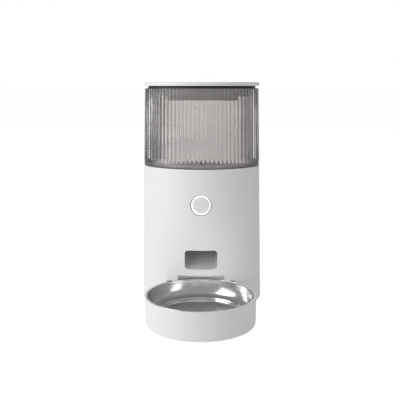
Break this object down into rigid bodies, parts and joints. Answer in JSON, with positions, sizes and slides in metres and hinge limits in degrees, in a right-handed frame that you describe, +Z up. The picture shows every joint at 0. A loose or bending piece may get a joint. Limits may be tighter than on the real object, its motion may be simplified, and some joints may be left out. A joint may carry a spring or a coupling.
{
  "type": "automatic pet feeder",
  "caption": "Oval tower pet feeder with lidded clear hopper, motor-driven portion wheel, chute, lit feed button and pull-out steel bowl holder.",
  "frame": {"origin": "on the floor, at the middle of the footprint of tower and bowl holder together", "axes": "+Z up, front of the feeder faces -Y, +X to the viewer's right"},
  "size_m": [0.1824, 0.2706, 0.33],
  "materials": {
    "white_plastic": "satin moulded ABS",
    "inner_white_plastic": "matt moulded ABS",
    "smoke_clear": "smoke-tinted clear plastic with fine vertical flutes",
    "dark_plastic": "matt black ABS",
    "silicone": "soft translucent silicone",
    "wiper_silicone": "orange silicone",
    "foot_rubber": "matt rubber",
    "acetal": "natural acetal",
    "motor_steel": "plated steel can",
    "screw_steel": "zinc-plated steel",
    "bowl_steel": "polished stainless steel",
    "light_guide": "opal light guide, lit",
    "board_green": "solder-masked fibreglass",
    "contact_brass": "nickel-plated brass"
  },
  "bodies": {
    "base": {"body_shell": "white_plastic", "bowl_bay": "white_plastic", "deck": "inner_white_plastic", "deck_screws": "screw_steel", "chute": "inner_white_plastic", "outlet_trim": "white_plastic", "sensor_emitter": "dark_plastic", "sensor_receiver": "dark_plastic", "light_ring": "light_guide", "button_housing": "dark_plastic", "button_board": "board_green", "button_switch": "dark_plastic", "main_board": "board_green", "board_screws": "screw_steel", "speaker": "dark_plastic", "power_inlet": "dark_plastic", "reset_board": "board_green", "battery_tray": "inner_white_plastic", "battery_plates": "contact_brass", "battery_springs": "contact_brass", "base_plate": "inner_white_plastic", "base_screws": "screw_steel", "body_feet": "foot_rubber", "gearbox_case": "dark_plastic", "gearbox_cover": "dark_plastic", "motor_bracket": "motor_steel", "gearbox_screws": "screw_steel", "motor": "motor_steel"},
    "feed_button": {"feed_button": "white_plastic"},
    "reset_button": {"reset_button": "dark_plastic"},
    "battery_door": {"battery_door": "white_plastic"},
    "drive": {"drive_coupling": "acetal", "output_gear": "acetal"},
    "pinion": {"motor_pinion": "acetal"},
    "hopper": {"hopper": "smoke_clear", "hopper_floor": "dark_plastic", "wheel_cover": "dark_plastic", "wiper": "wiper_silicone", "wheel_housing": "dark_plastic"},
    "wheel": {"portion_wheel": "dark_plastic", "stirrer": "dark_plastic"},
    "lid": {"lid": "white_plastic", "lid_plug": "inner_white_plastic", "lid_seal": "silicone", "desiccant_box": "inner_white_plastic"},
    "desiccant_cover": {"desiccant_cover": "inner_white_plastic"},
    "tray": {"bowl_holder": "white_plastic", "holder_feet": "foot_rubber"},
    "bowl": {"bowl": "bowl_steel"}
  },
  "joints": [
    {"name": "feed_button_press", "type": "slide", "parent": "base", "child": "feed_button", "axis": [0, 1, 0], "range_m": [0, 0.0012], "stiffness_N_per_m": 400, "springref_m": -0.0005},
    {"name": "reset_button_press", "type": "slide", "parent": "base", "child": "reset_button", "axis": [0, -1, 0], "range_m": [0, 0.0008], "stiffness_N_per_m": 400, "springref_m": -0.0005},
    {"name": "battery_door_pull", "type": "slide", "parent": "base", "child": "battery_door", "axis": [0, 1, 0], "range_m": [0, 0.03]},
    {"name": "drive_spin", "type": "hinge", "parent": "base", "child": "drive", "pos_m": [0, 0.0723, 0.13], "axis": [0, 0, 1], "continuous": true},
    {"name": "pinion_spin", "type": "hinge", "parent": "base", "child": "pinion", "pos_m": [0, 0.0915, 0.13], "axis": [0, 0, 1], "continuous": true},
    {"name": "hopper_lift", "type": "slide", "parent": "base", "child": "hopper", "axis": [0, 0, 1], "range_m": [0, 0.07]},
    {"name": "wheel_spin", "type": "hinge", "parent": "hopper", "child": "wheel", "pos_m": [0, 0.0723, 0.16], "axis": [0, 0, 1], "continuous": true},
    {"name": "lid_lift", "type": "slide", "parent": "hopper", "child": "lid", "axis": [0, 0, 1], "range_m": [0, 0.06]},
    {"name": "desiccant_cover_twist", "type": "hinge", "parent": "lid", "child": "desiccant_cover", "pos_m": [0, 0.0593, 0.303], "axis": [0, 0, 1], "range_deg": [0, 30]},
    {"name": "tray_pull", "type": "slide", "parent": "base", "child": "tray", "axis": [0, -1, 0], "range_m": [0, 0.06]},
    {"name": "bowl_lift", "type": "slide", "parent": "tray", "child": "bowl", "axis": [0, 0, 1], "range_m": [0, 0.001]}
  ],
  "couplings": [
    {"joint": "pinion_spin", "follows": "wheel_spin", "ratio": -3},
    {"joint": "drive_spin", "follows": "wheel_spin", "ratio": 1}
  ]
}
